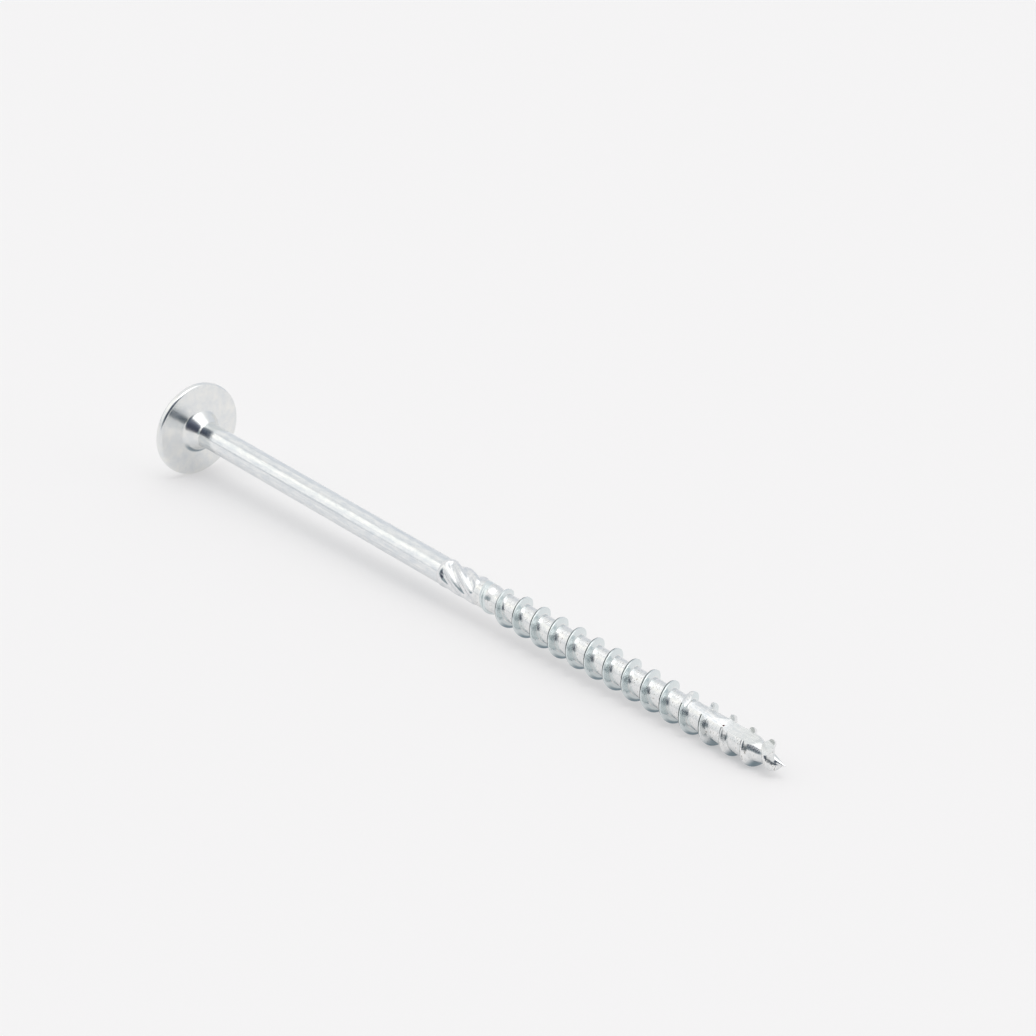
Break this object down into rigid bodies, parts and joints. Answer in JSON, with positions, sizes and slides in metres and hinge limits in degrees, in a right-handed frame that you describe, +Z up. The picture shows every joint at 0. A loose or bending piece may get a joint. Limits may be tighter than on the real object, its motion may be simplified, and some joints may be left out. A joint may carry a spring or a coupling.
{
  "type": "construction screw",
  "caption": "Flange-head timber screw with a star recess, a plain shank with twisted cutter ribs, a coarse partial thread and a notched point, lying on its side.",
  "frame": {"origin": "on the ground, below the middle of the lying screw's bounding box", "axes": "+X along the screw from the head to the point, +Z up, so the axis dips 2.5 degrees towards the point"},
  "size_m": [0.1836, 0.022, 0.022],
  "materials": {
    "zinc_plated_steel": "bright zinc plating"
  },
  "bodies": {
    "root": {"construction_screw": "zinc_plated_steel"}
  },
  "joints": []
}
